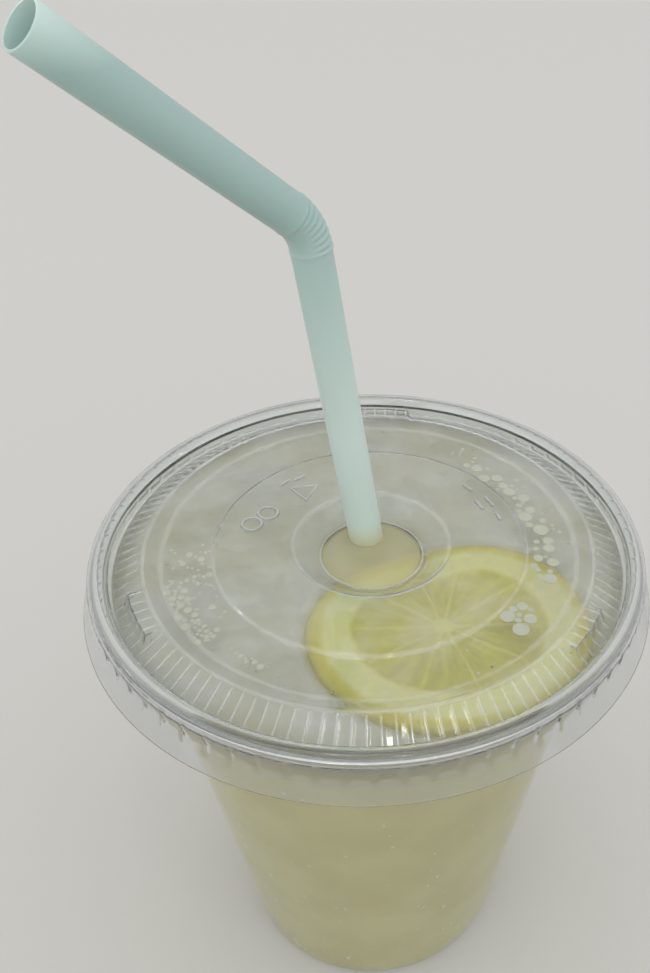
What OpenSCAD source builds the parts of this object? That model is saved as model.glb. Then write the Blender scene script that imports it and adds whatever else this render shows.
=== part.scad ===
// Take-away cup of lemonade: a clear cup with a push-on flat lid, a bendy
// drinking straw and a lemon slice afloat right under the lid.
// Millimetres, +Z up. The origin is the centre of the foot, on the surface
// that the cup stands on.

/* [Cup] */
// Height of the cup, from the surface it stands on to the top of its rolled rim
cup_h = 107; // [80:1:135]
// Outer diameter of the rolled rim
rim_d = 98; // [82:0.5:118]
// Thickness of the rolled rim
rim_roll_d = 2; // [1.6:0.1:2.4]
// Thickness of the cup's wall
cup_wall = 0.6; // [0.4:0.05:0.9]
// Height of the band under the rim, which spaces nested cups
band_h = 12; // [9:0.5:15]
// How far the band narrows towards its lower edge, on the radius
band_draft = 3; // [1.5:0.1:3.4]
// Height of the sloping shoulder between the band and the body
shoulder_h = 2.4; // [1.5:0.1:4]
// Width of the sloping shoulder, on the radius
shoulder_w = 3.6; // [2:0.1:5]
// Outer diameter of the foot ring
foot_d = 58.4; // [52:0.2:70]
// How far the body stands out over the foot ring, on the radius
foot_step = 1.1; // [0.6:0.1:2]
// Height of the foot ring
foot_h = 1.9; // [1.5:0.1:3]
// Width of the foot ring's flat resting face
foot_face = 1.6; // [1:0.1:3]
// How far the floor is raised inside the foot ring
floor_rise = 3; // [2:0.1:5]

/* [Lid] */
// Gap between the lid and the rim it sits on
seat_gap = 0.05; // [0.02:0.01:0.1]
// Thickness of the lid's sheet
lid_t = 0.4; // [0.3:0.05:0.5]
// Gap between the rim and the bead, outside the rim
push_gap = 0.3; // [0.2:0.05:0.5]
// Gap between the rim and the bead, inside the rim
bead_gap = 0.4; // [0.3:0.05:0.6]
// How far the skirt flares out past the bead, on the radius
skirt_flare = 1.8; // [0.8:0.1:3]
// Depth of the skirt under the middle of the bead
skirt_h = 6.7; // [5:0.1:8]
// Depth of the groove just inside the bead, under the middle of the bead
groove_depth = 1.5; // [1:0.1:2]
// Width of the groove's floor
groove_w = 0.3; // [0.2:0.1:1]
// Width of the ribbed slope, on the radius
slope_w = 4.9; // [4:0.1:6]
// Height of the ribbed slope's crest over the deck
crest_rise = 1.1; // [0.6:0.1:1.8]
// Width of the crest
crest_w = 0.9; // [0.6:0.1:1.2]
// Width of the slope from the crest in to the deck
fall_w = 2.4; // [1.6:0.1:3]
// Outer diameter of the raised centre disc
disc_d = 57.4; // [50:0.2:64]
// Height of the centre disc over the deck
disc_rise = 0.6; // [0.4:0.1:0.7]
// Diameter of the edge of the dish round the straw hole
dish_d = 28.5; // [27:0.5:34]
// Diameter of the straw hole
hole_d = 18.5; // [15:0.1:22]
// Depth of the straw hole's edge under the deck
hole_drop = 2.7; // [2:0.1:4]
// Number of radial ribs on the slope
rib_count = 120; // [60:6:120]
// Width of a rib
rib_w = 0.6; // [0.4:0.1:1]
// Height of a rib
rib_h = 0.3; // [0.2:0.05:0.5]
// Number of small grip nubs under the bead
nub_count = 72; // [36:6:72]
// Width of a nub
nub_w = 1.3; // [0.8:0.1:1.8]
// Height of a nub's face
nub_h = 1.2; // [0.8:0.1:1.6]
// How far a nub stands out
nub_out = 0.6; // [0.4:0.1:0.8]
// Number of finger pads that interrupt the ribs
pad_count = 3; // [2:1:4]
// Width of a finger pad
pad_w = 10.5; // [8:0.5:14]
// Gap between a finger pad and the foot of the ribbed slope
pad_inset = 2.2; // [1.5:0.1:3]
// Height of a finger pad over the crest
pad_rise = 0.15; // [0.1:0.05:0.4]
// Direction of the first finger pad
pad_turn = 86; // [0:1:119]

/* [Straw] */
// Outer diameter of the straw
straw_d = 6.3; // [5:0.1:8]
// Wall of the straw
straw_wall = 0.35; // [0.25:0.05:0.5]
// Gap between the straw and the edge of the lid's hole
straw_gap = 1.2; // [1:0.1:2]
// Side of the hole that the straw stands at
straw_side = 101.8; // [80:0.1:125]
// Lean of the lower stretch from upright
straw_lean = 7.7; // [4:0.1:9]
// Direction that the lower stretch leans in
straw_lean_turn = 201; // [180:1:225]
// Length from the lid's hole up to the middle of the bend
straw_rise = 61.3; // [45:0.1:75]
// Length from the middle of the bend to the open end
straw_reach = 44.8; // [35:0.1:60]
// Angle of the bend
bend_angle = 42; // [20:1:70]
// Direction of the bend, round the lower stretch
bend_turn = 18; // [-30:1:60]
// Radius of the bend, on the straw's axis
bend_r = 9; // [7:0.5:14]
// Number of ridges in the bend
ridge_count = 7; // [4:1:9]
// How far a ridge stands out from the straw
ridge_h = 0.25; // [0.15:0.05:0.4]

/* [Lemonade] */
// Gap between the lemonade and the lid's straw hole above it
fill_gap = 0.4; // [0.4:0.1:8]
// Gap between the lemonade and the solids that it wets
wet_gap = 0.1; // [0.05:0.05:0.3]

/* [Lemon slice] */
// Diameter of the slice
slice_d = 49.2; // [44:0.2:52]
// Thickness of the slice
slice_t = 4.6; // [3:0.1:8]
// Direction in which the slice is pressed against the cup's wall
slice_turn = 307.8; // [290:0.2:325]
// How far the wall presses the slice's skin in
slice_press = 0.8; // [0.7:0.1:1.2]
// How far the slice's top stands out of the lemonade
slice_float = 0.2; // [0.1:0.1:0.3]
// Gap between the slice's flattened side and the straw
slice_gap = 4.7; // [2:0.1:6]
// Direction of the flattened side
slice_flat_turn = 108; // [100:1:140]
// Radius of the rounded edge of the slice's skin
slice_round = 1; // [0.5:0.1:1.4]

/* [Hidden] */
$fn = 96;

// The cup's radii, outside
rim_r = rim_d / 2;
roll_r = rim_roll_d / 2;
roll_mid = rim_r - roll_r;
band_r = roll_mid - roll_r + cup_wall;
band_low_r = band_r - band_draft;
band_round = 0.8;
body_r = band_low_r - shoulder_w;
foot_r = foot_d / 2;
body_low_r = foot_r + foot_step;
foot_round = 0.4;

// The cup's levels
band_z = cup_h - rim_roll_d - band_h;
body_z = band_z - shoulder_h;
floor_z = floor_rise + cup_wall;
body_low_z = foot_h + foot_round;
rest_out_r = foot_r - foot_round;
rest_in_r = rest_out_r - foot_face;
floor_slope = 0.6;
floor_r = rest_in_r - floor_rise * floor_slope;

// The lid's radii and levels; deck_z is the middle of the bead
lid_r = rim_r + push_gap + lid_t;
bead_in_r = rim_r - rim_roll_d - bead_gap - lid_t;
bead_top = 1.6;
deck_z = cup_h - bead_top + lid_t + seat_gap;
skirt_r = lid_r + skirt_flare;
neck_in = 0.7;
neck_r = lid_r - neck_in;
neck_drop = 2.5;
groove_side = 0.3;
slope_r = bead_in_r - groove_side - groove_w;
crest_r = slope_r - slope_w;
deck_r = crest_r - crest_w - fall_w;
disc_r = disc_d / 2;
dish_r = dish_d / 2;
hole_r = hole_d / 2;
bevel = 0.6;
dish_bevel = 0.3;
hole_ledge = 1;

hole_z = deck_z - hole_drop;

// The lemonade's level, and the slice's
fill_z = hole_z - lid_t - fill_gap;
slice_top_z = fill_z + slice_float;
slice_low_z = slice_top_z - slice_t;

// The straw's place in the hole, and its lower stretch down to the cup's floor
straw_r = straw_d / 2;
bore_r = straw_r - straw_wall;
straw_at = (hole_r - straw_r - straw_gap) * [cos(straw_side), sin(straw_side)];
foot_clear = straw_r * sin(straw_lean) + 0.2;
straw_down = (hole_z - floor_z - foot_clear) / cos(straw_lean);
bend_cut = bend_r * tan(bend_angle / 2);
bend_z = straw_rise - bend_cut;
ridge_w = 0.7;

// Points along an arc, from angle a0 to a1
function arc(cx, cz, r, a0, a1, n) =
    [for (i = [0:n]) let (a = a0 + (a1 - a0) * i / n) [cx + r * cos(a), cz + r * sin(a)]];

// Unit normal to the right of the way from p to q
function side(p, q) = let (d = q - p) [d[1], -d[0]] / norm(d);

// The point at distance t to the right of an outline's point i
function shifted(path, i, t) =
    let (last = len(path) - 1,
         a = side(path[max(i - 1, 0)], path[max(i, 1)]),
         b = side(path[min(i, last - 1)], path[min(i + 1, last)]),
         m = a + b)
    path[i] + m * (2 * t / (m * m));

// A sheet of thickness t, on the right of its outline
function sheet(path, t) =
    concat(path, [for (i = [len(path) - 1:-1:0]) shifted(path, i, t)]);

// Outside of the cup, from the rim down to the middle of its floor
cup_path = concat(
    [[band_r, cup_h - roll_r], [band_low_r, band_z + band_round]],
    [[band_low_r - band_round / 2, band_z]],
    [[body_r + band_round / 2, body_z + band_round / 2], [body_r, body_z]],
    [[body_low_r, body_low_z]],
    [[foot_r, foot_h], [foot_r, foot_round * 2], [rest_out_r + foot_round * 0.75, foot_round], [rest_out_r, 0]],
    [[rest_in_r, 0], [floor_r, floor_rise], [0, floor_rise]]);

// Top of the lid, from the skirt's lower edge in to the straw hole
lid_path = concat(
    [[skirt_r, deck_z - skirt_h], [neck_r, deck_z - neck_drop]],
    arc(lid_r - bead_top, deck_z, bead_top, -20, 80, 7),
    arc(bead_in_r + bead_top, deck_z, bead_top, 100, 180, 6),
    [[bead_in_r, deck_z - groove_depth * 0.7]],
    [[bead_in_r - groove_side, deck_z - groove_depth], [slope_r, deck_z - groove_depth]],
    [[crest_r, deck_z + crest_rise], [crest_r - crest_w, deck_z + crest_rise]],
    [[deck_r, deck_z], [disc_r, deck_z], [disc_r - bevel, deck_z + disc_rise]],
    [[dish_r + bevel, deck_z + disc_rise], [dish_r, deck_z + disc_rise - dish_bevel]],
    [[hole_r + hole_ledge, hole_z], [hole_r, hole_z]]);

// Steepness of the ribbed slope
slope_rise = crest_rise + groove_depth;
slope_run = slope_r - crest_r;

// Radius of the cup's inside at height z, drawn in by a gap; i is the outline's stretch
function wall_at(z, i, gap) =
    let (p = shifted(cup_path, i, cup_wall + gap), q = shifted(cup_path, i + 1, cup_wall + gap))
    q[0] + (p[0] - q[0]) * (z - q[1]) / (p[1] - q[1]);

// The slice's place against the wall, and how deep its flattened side is
slice_r = slice_d / 2;
slice_uneven = 0.3;
slice_uneven_turn = 60;
flat_narrow = 2.5;
slice_way = wall_at(slice_low_z, 0, wet_gap) + slice_press - slice_r;
slice_at = slice_way * [cos(slice_turn), sin(slice_turn)];
slice_flat = max(slice_r - (norm(straw_at - slice_at) - straw_r - slice_gap), 0);

module cup() {
    color([0.86, 0.88, 0.86, 0.4]) {
        rotate_extrude() polygon(sheet(cup_path, cup_wall));
        rotate_extrude() translate([roll_mid, cup_h - roll_r]) circle(r = roll_r, $fn = 32);
    }
}

// One radial rib on the slope
module rib() {
    inset = 0.5;
    fall = slope_rise / slope_run;
    far = slope_r - inset;
    near = crest_r + inset;
    low = deck_z - groove_depth + inset * fall;
    high = deck_z + crest_rise - inset * fall;
    wide = rib_w / crest_r * 180 / PI;
    rotate(-wide / 2) rotate_extrude(angle = wide)
        polygon([[far, low + rib_h], [near, high + rib_h], [near, high - lid_t / 2], [far, low - lid_t / 2]]);
}

// One grip nub, low on the outside of the neck
module nub() {
    wide = nub_w / lid_r * 180 / PI;
    root_r = neck_r - lid_t / 2;
    bevelled = 0.7;
    high = deck_z - neck_drop + nub_h / 2;
    low = deck_z - neck_drop - nub_h / 2;
    rotate(-wide / 2) rotate_extrude(angle = wide)
        polygon([[root_r, high + bevelled], [neck_r + nub_out, high], [neck_r + nub_out, low], [root_r, low]]);
}

// One finger pad, a flat step across the ribs, a little higher than the crest
module pad() {
    pad_r = slope_r - pad_inset;
    near = crest_r - crest_w / 2;
    wide = pad_w / pad_r * 180 / PI;
    top = deck_z + crest_rise;
    rotate(-wide / 2) rotate_extrude(angle = wide)
        polygon([[pad_r, top + pad_rise], [near, top + pad_rise], [near, top - lid_t / 2],
                 [pad_r, deck_z - groove_depth - lid_t / 2]]);
}

module lid() {
    color([0.9, 0.92, 0.92, 0.4]) {
        rotate_extrude() polygon(sheet(lid_path, -lid_t));
        for (i = [0:rib_count - 1]) rotate((i + 0.5) * 360 / rib_count) rib();
        for (i = [0:nub_count - 1]) rotate(i * 360 / nub_count) nub();
        for (i = [0:pad_count - 1]) rotate(pad_turn + i * 360 / pad_count) pad();
    }
}

// Puts the straw's own frame in place: its axis up, and the lid's hole at height zero
module straw_place() {
    translate([straw_at[0], straw_at[1], hole_z]) rotate([0, straw_lean, straw_lean_turn]) children();
}

// A rod along the straw's axis, lengthened by extra at both ends
module straw_rod(r, extra) {
    rotate(bend_turn) {
        translate([0, 0, -straw_down - extra]) cylinder(r = r, h = straw_down + bend_z + extra, $fn = 64);
        bend_part(r, 0, bend_angle);
        straw_upper() cylinder(r = r, h = straw_reach - bend_cut + extra, $fn = 64);
    }
}

// The stretch of a bent rod from angle a0 to a1 of the bend
module bend_part(r, a0, a1) {
    translate([bend_r, 0, bend_z]) rotate([90, 0, 0]) rotate(180 - a1)
        rotate_extrude(angle = a1 - a0) translate([bend_r, 0]) circle(r = r, $fn = 64);
}

// Frame at the bend's upper end, with its axis along the upper stretch
module straw_upper() {
    translate([bend_r, 0, bend_z]) rotate([0, bend_angle, 0]) translate([-bend_r, 0, 0]) children();
}

// The ridges of the bend: rings round the curved axis, and one over each end of the bend
module ridges() {
    pitch = bend_angle / ridge_count;
    half = pitch / 4;
    rotate(bend_turn) {
        for (i = [1:ridge_count - 1]) bend_part(straw_r + ridge_h, i * pitch - half, i * pitch + half);
        translate([0, 0, bend_z - ridge_w / 2]) cylinder(r = straw_r + ridge_h, h = ridge_w, $fn = 64);
        straw_upper() translate([0, 0, -ridge_w / 2]) cylinder(r = straw_r + ridge_h, h = ridge_w, $fn = 64);
    }
}

module straw() {
    color([0.74, 0.84, 0.81]) straw_place() difference() {
        union() {
            straw_rod(straw_r, 0);
            ridges();
        }
        straw_rod(bore_r, 1);
    }
}

// Radius of the slice's outline in direction a, pressed flat on one side
function slice_edge(a) =
    slice_r - slice_flat * pow(max(cos(a - slice_flat_turn), 0), flat_narrow)
    + slice_uneven * cos(3 * a + slice_uneven_turn);

// The slice's outline, grown or drawn in
module slice_outline(grow) {
    steps = 72;
    polygon([for (i = [0:steps - 1]) let (a = 360 * i / steps) (slice_edge(a) + grow) * [cos(a), sin(a)]]);
}

// The slice as cut, with its skin's edge stepped round, grown by a gap
module slice_solid(gap) {
    chamfer = slice_round / 2;
    translate([slice_at[0], slice_at[1], slice_low_z]) {
        translate([0, 0, chamfer - gap]) linear_extrude(slice_t - 2 * chamfer + 2 * gap) slice_outline(gap);
        translate([0, 0, -gap]) linear_extrude(slice_t + 2 * gap) slice_outline(gap - chamfer);
    }
}

module lemon_slice() {
    color([0.82, 0.78, 0.42]) intersection() {
        slice_solid(0);
        cylinder(r = wall_at(slice_low_z, 0, wet_gap), h = cup_h);
    }
}

module lemonade() {
    low_z = floor_z + wet_gap;
    color([0.66, 0.65, 0.50, 0.85]) difference() {
        rotate_extrude() polygon(concat(
            [[0, low_z], [0, fill_z], [wall_at(fill_z, 0, wet_gap), fill_z]],
            [for (i = [1:4]) shifted(cup_path, i, cup_wall + wet_gap)],
            [[wall_at(low_z, 4, wet_gap), low_z]]));
        slice_solid(wet_gap);
        straw_place() straw_rod(straw_r + wet_gap, wet_gap);
    }
}

cup();
lid();
straw();
lemonade();
lemon_slice();
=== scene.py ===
"""A clear take-away cup of cloudy lemonade, with a flat lid, a bendy straw and a lemon slice."""

import math
import random

import bmesh
import bpy
from bpy.props import FloatProperty, FloatVectorProperty, IntProperty, PointerProperty
from mathutils import Matrix, Vector, noise


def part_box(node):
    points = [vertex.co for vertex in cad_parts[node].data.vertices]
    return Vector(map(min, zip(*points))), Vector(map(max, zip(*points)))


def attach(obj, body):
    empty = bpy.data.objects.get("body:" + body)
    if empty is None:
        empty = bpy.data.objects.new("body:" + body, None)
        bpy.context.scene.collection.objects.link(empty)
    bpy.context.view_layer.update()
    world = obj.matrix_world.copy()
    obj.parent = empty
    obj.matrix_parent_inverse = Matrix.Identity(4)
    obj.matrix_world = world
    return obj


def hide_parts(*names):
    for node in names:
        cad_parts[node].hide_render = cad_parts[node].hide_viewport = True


bl_info = {
    "name": "Take-away lemonade",
    "version": (1, 0, 0),
    "blender": (4, 5, 0),
    "location": "3D View > Sidebar > Lemonade",
    "description": "Builds a clear cup of lemonade with its lid, straw and lemon slice",
    "category": "Add Mesh",
}

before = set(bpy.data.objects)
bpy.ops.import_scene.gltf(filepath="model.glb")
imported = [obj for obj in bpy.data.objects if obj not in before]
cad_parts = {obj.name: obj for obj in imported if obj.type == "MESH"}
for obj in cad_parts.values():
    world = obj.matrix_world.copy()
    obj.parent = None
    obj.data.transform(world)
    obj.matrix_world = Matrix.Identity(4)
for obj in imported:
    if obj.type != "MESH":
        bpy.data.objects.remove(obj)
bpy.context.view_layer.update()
BODY = "root"
MM = 0.001
TAU = 2 * math.pi

CUP_LOW, CUP_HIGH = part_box("cup")
LID_LOW, LID_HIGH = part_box("lid")
DRINK_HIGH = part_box("lemonade")[1]
SLICE_LOW, SLICE_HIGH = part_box("lemon_slice")
RIM_R = (CUP_HIGH.x - CUP_LOW.x) / 2
SKIRT_R = (LID_HIGH.x - LID_LOW.x) / 2


# ---------------------------------------------------------------- sizes and colours

def length(label, words, metres):
    """A length that a user may change, in metres."""
    return FloatProperty(name=label, description=words, default=metres, unit="LENGTH", precision=5)


def turn(label, words, degrees):
    """An angle that a user may change, given in degrees."""
    return FloatProperty(name=label, description=words, default=math.radians(degrees), unit="ROTATION")


def count(label, words, number):
    """A whole number that a user may change."""
    return IntProperty(name=label, description=words, default=number, min=0)


def linear(code):
    """An sRGB hex colour as linear red, green, blue and alpha."""
    parts = [int(code[i:i + 2], 16) / 255 for i in (1, 3, 5)]
    return [c / 12.92 if c <= 0.04045 else ((c + 0.055) / 1.055) ** 2.4 for c in parts] + [1.0]


def colour(label, words, code):
    """A colour that a user may change, given as sRGB hex."""
    return FloatVectorProperty(name=label, description=words, default=linear(code), size=4,
                               subtype="COLOR", min=0, max=1)


class CupSizes(bpy.types.PropertyGroup):
    """Sizes of the clear cup."""
    height: length("Height", "From the foot to the top of the rim", CUP_HIGH.z)
    rim_r: length("Rim radius", "Outside of the rolled rim", RIM_R)
    roll_r: length("Roll radius", "Half the thickness of the rolled rim", 1.0 * MM)
    wall: length("Wall", "Thickness of the wall", 0.6 * MM)
    band_h: length("Band height", "Height of the band under the rim", 12 * MM)
    band_draft: length("Band draft", "How far the band narrows downwards", 3.0 * MM)
    shoulder_h: length("Shoulder height", "Height of the slope under the band", 2.4 * MM)
    body_top_r: length("Body top radius", "Outside of the body under the shoulder", 41.0 * MM)
    body_low_r: length("Body low radius", "Outside of the body at its lower end", 30.3 * MM)
    foot_r: length("Foot radius", "Outside of the foot ring", 29.2 * MM)
    foot_h: length("Foot height", "Height of the foot ring", 1.9 * MM)
    foot_face: length("Foot face", "Width of the ring that the cup rests on", 1.6 * MM)
    floor_rise: length("Floor rise", "How far the floor is raised in the foot ring", 3.0 * MM)


class LidSizes(bpy.types.PropertyGroup):
    """Sizes of the flat lid."""
    sheet: length("Sheet", "Thickness of the formed sheet", 0.4 * MM)
    bead_r: length("Bead radius", "Outside of the rounded bead", 49.7 * MM)
    bead_top: length("Bead top", "Height of the bead over the deck", 1.6 * MM)
    bead_w: length("Bead width", "Width of the bead", 3.5 * MM)
    skirt_h: length("Skirt depth", "Depth of the skirt under the deck", 6.7 * MM)
    groove_depth: length("Groove depth", "Depth of the groove inside the bead", 1.5 * MM)
    slope_r: length("Slope radius", "Outside of the ribbed slope", 45.6 * MM)
    crest_r: length("Crest radius", "Top of the ribbed slope", 40.7 * MM)
    crest_rise: length("Crest rise", "Height of the crest over the deck", 1.1 * MM)
    deck_r: length("Deck radius", "Outside of the flat deck", 37.4 * MM)
    disc_r: length("Disc radius", "Outside of the raised centre disc", 28.7 * MM)
    disc_rise: length("Disc rise", "Height of the centre disc over the deck", 0.6 * MM)
    dish_r: length("Dish radius", "Edge of the dish round the straw hole", 14.25 * MM)
    hole_r: length("Hole radius", "Straw hole", 9.25 * MM)
    hole_drop: length("Hole drop", "Depth of the hole's edge under the deck", 2.7 * MM)
    ribs: count("Ribs", "Ribs on the slope", 120)
    rib_h: length("Rib height", "Height of a rib", 0.18 * MM)
    nubs: count("Nubs", "Grip nubs under the bead", 72)
    nub_out: length("Nub size", "How far a nub stands out", 0.55 * MM)
    pads: count("Pads", "Finger pads across the ribs", 3)
    pad_w: length("Pad width", "Width of a finger pad", 10.5 * MM)
    pad_turn: turn("Pad direction", "Direction of the first finger pad", 86)


class StrawSizes(bpy.types.PropertyGroup):
    """Sizes of the bendy straw."""
    radius: length("Radius", "Outside of the tube", 3.15 * MM)
    wall: length("Wall", "Thickness of the tube", 0.35 * MM)
    lean: turn("Lean", "Lean of the lower stretch", 7.7)
    lean_turn: turn("Lean direction", "Direction that the lower stretch leans in", 201)
    rise: length("Rise", "From the lid's hole to the corner of the bend", 61.3 * MM)
    reach: length("Reach", "From the corner of the bend to the open end", 44.8 * MM)
    bend: turn("Bend", "Angle of the bend", 42)
    bend_turn: turn("Bend direction", "Direction of the bend round the lower stretch", 18)
    bend_r: length("Bend radius", "Radius of the bend on the axis", 9 * MM)
    ridges: count("Ridges", "Ridges in the bend", 7)
    ridge_h: length("Ridge height", "How far a ridge stands out", 0.15 * MM)
    at_x: length("Place across", "Place in the lid's hole, left to right", -1.0 * MM)
    at_y: length("Place along", "Place in the lid's hole, front to back", 4.8 * MM)


class SliceSizes(bpy.types.PropertyGroup):
    """Sizes of the lemon slice."""
    radius: length("Radius", "Round part of the slice", 24.6 * MM)
    flat: length("Flat", "How far the slice is pressed in beside the straw", 7.2 * MM)
    flat_turn: turn("Flat direction", "Direction of the pressed side", 108)
    at_x: length("Place across", "Middle of the slice, left to right", 12.9 * MM)
    at_y: length("Place along", "Middle of the slice, front to back", -16.7 * MM)
    rind: length("Rind", "Depth of the yellow skin", 2.5 * MM)
    pith: length("Pith", "Depth of the white under the skin", 5.2 * MM)
    segments: count("Segments", "Segments of the flesh", 10)


class DrinkSizes(bpy.types.PropertyGroup):
    """Sizes of the lemonade and of what floats in it."""
    level: length("Level", "Height of the lemonade's surface", DRINK_HIGH.z)
    meniscus: length("Meniscus", "How far the lemonade climbs what it wets", 0.7 * MM)
    core_gap: length("Clear depth", "Depth over which the lemonade turns cloudy", 7 * MM)
    bubbles: count("Bubbles", "Air bubbles under the lid", 190)
    specks: count("Specks", "Specks of pulp and air at the wall", 420)
    drops: count("Drops", "Small water drops on the lid", 60)


class Colours(bpy.types.PropertyGroup):
    """Colours of every piece."""
    clear: colour("Clear sheet", "Tint of the cup and the lid", "#FDFFFD")
    clear_bead: colour("Clear bead", "Grey of the lid's bead and skirt, seen along the sheet", "#ECEDEF")
    froth: colour("Froth", "Film of fine bubbles on the drink", "#F6F6EA")
    drink: colour("Lemonade", "Cloudy lemonade", "#E8E4B2")
    drink_deep: colour("Lemonade, deep", "Lemonade where it is thick", "#E0DBA6")
    rind: colour("Rind", "Yellow skin of the lemon", "#E8DC30")
    rind_dark: colour("Rind, dark", "Skin where it is thick and wet", "#D2C424")
    pith: colour("Pith", "White under the skin", "#FCF9A0")
    flesh: colour("Flesh", "Juice sacs of the lemon", "#E8E052")
    membrane: colour("Membrane", "Walls between the segments", "#F0EA74")
    straw: colour("Straw", "Pale green polypropylene", "#DDF6EE")
    # Painted shade: a darker straw colour for the upper stretch, standing in for the shade there; the
    # lower part keeps the paler straw colour.
    straw_upper_painted_shade: colour("Straw, upper end", "The same where no lid lights it from below", "#A6C3BE")
    air: colour("Air", "Bubbles and specks", "#F8F8DE")
    floor: colour("Floor", "Studio floor", "#CFCECA")


class StageSizes(bpy.types.PropertyGroup):
    """Camera, floor and lights."""
    distance: length("Distance", "From the camera to the middle of the lid", 170.2 * MM)
    elevation: turn("Elevation", "Height of the camera over the horizon", 40.38)
    pan: turn("Pan", "Turn of the camera to the side", -3.96)
    roll: turn("Roll", "Turn of the camera about its view", -0.75)
    lens: FloatProperty(name="Lens", description="Focal length in millimetres", default=34.41)
    shift_x: FloatProperty(name="Shift across", description="Sideways lens shift", default=-0.114)
    shift_y: FloatProperty(name="Shift up", description="Upward lens shift", default=0.0563)


# ---------------------------------------------------------------- shape tools

def mixed(a, b, share):
    """Between a and b."""
    return a + (b - a) * share


def smooth(low, high, x):
    """0 at low, 1 at high and past it, and an even curve between."""
    t = min(max((x - low) / (high - low), 0), 1)
    return t * t * (3 - 2 * t)


def arc(middle, radius, start, end, steps):
    """Points along an arc in the section's plane; angles in degrees."""
    out = []
    for i in range(steps + 1):
        a = math.radians(mixed(start, end, i / steps))
        out.append((middle[0] + radius * math.cos(a), middle[1] + radius * math.sin(a)))
    return out


def rounded(corners, steps=4):
    """An outline through (radius, height, rounding) corners; a rounding of 0 keeps the corner."""
    out = []
    for i, (r, z, q) in enumerate(corners):
        here = Vector((r, z))
        if q == 0 or i in (0, len(corners) - 1):
            out.append((r, z))
            continue
        back = Vector(corners[i - 1][:2]) - here
        on = Vector(corners[i + 1][:2]) - here
        reach = min(q, back.length * 0.48, on.length * 0.48)
        start, end = here + back.normalized() * reach, here + on.normalized() * reach
        for k in range(steps + 1):
            t = k / steps
            p = start * (1 - t) ** 2 + here * 2 * t * (1 - t) + end * t * t
            out.append((p.x, p.y))
    return out


def divided(path, step):
    """The same outline with no stretch longer than step."""
    out = [path[0]]
    for p, q in zip(path, path[1:]):
        n = max(1, math.ceil(math.dist(p, q) / step))
        out += [(mixed(p[0], q[0], k / n), mixed(p[1], q[1], k / n)) for k in range(1, n + 1)]
    return out


def beside(path, gap):
    """The outline moved by gap to the right of its own direction."""
    out = []
    for i, p in enumerate(path):
        before, after = Vector(path[max(i - 1, 0)]), Vector(path[min(i + 1, len(path) - 1)])
        way = (after - before).normalized()
        out.append((max(p[0] + way.y * gap, 0), p[1] - way.x * gap))
    return out


def new_mesh(name, verts, faces, material, sharp=None):
    """A mesh object with merged points, shaded smooth but for edges sharper than sharp degrees."""
    mesh = bpy.data.meshes.new(name)
    mesh.from_pydata(verts, [], faces)
    work = bmesh.new()
    work.from_mesh(mesh)
    bmesh.ops.remove_doubles(work, verts=work.verts, dist=0.002 * MM)
    bmesh.ops.recalc_face_normals(work, faces=work.faces)
    work.to_mesh(mesh)
    work.free()
    mesh.shade_smooth()
    if sharp:
        mesh.set_sharp_from_angle(angle=math.radians(sharp))
    mesh.materials.append(material)
    piece = bpy.data.objects.new(name, mesh)
    bpy.context.scene.collection.objects.link(piece)
    return piece


def turned(path, segments, shape=None, loop=False):
    """Points and faces of an outline turned about the axis. shape(r, z, a) may move a point."""
    verts, faces, n = [], [], len(path)
    for j in range(segments):
        a = TAU * j / segments
        ca, sa = math.cos(a), math.sin(a)
        for r, z in path:
            if shape:
                r, z = shape(r, z, a)
            verts.append((r * ca, r * sa, z))
    last = n if loop else n - 1
    for j in range(segments):
        k = (j + 1) % segments
        for i in range(last):
            m = (i + 1) % n
            faces.append((j * n + i, k * n + i, k * n + m, j * n + m))
    return verts, faces


def placed(piece, slot, *nodes):
    """Rides the piece on the part's body, and hides the CAD nodes it stands for."""
    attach(piece, BODY)
    if nodes:
        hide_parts(*nodes)
    return piece


# ---------------------------------------------------------------- material tools

def add(tree, kind, settings=None, links=None, stops=None):
    """Adds a shader node with settings and socket values by name, links by socket, and ramp stops.

    A link comes from a socket, or from the first output of a node."""
    made = tree.nodes.new("ShaderNode" + kind)
    for key, value in (settings or {}).items():
        if isinstance(key, str) and hasattr(made, key):
            setattr(made, key, value)
        else:
            made.inputs[key].default_value = value
    for key, source in (links or {}).items():
        first = source.outputs[0] if isinstance(source, bpy.types.Node) else source
        tree.links.new(first, made.inputs[key])
    if stops:
        marks = made.color_ramp.elements
        marks.remove(marks[1])
        marks[0].position, marks[0].color = stops[0]
        for place, value in stops[1:]:
            marks.new(place).color = value
    return made


def material_of(name, settings, build=None):
    """A material with one Principled shader; build(tree) gives the links to its sockets."""
    material = bpy.data.materials.new(name)
    material.use_nodes = True
    tree = material.node_tree
    tree.nodes.clear()
    shader = add(tree, "BsdfPrincipled", settings, build(tree) if build else None)
    add(tree, "OutputMaterial", links={"Surface": shader.outputs["BSDF"]})
    return material


def grey(value):
    """A grey as red, green, blue and alpha."""
    return (value, value, value, 1.0)


# ---------------------------------------------------------------- materials

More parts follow.
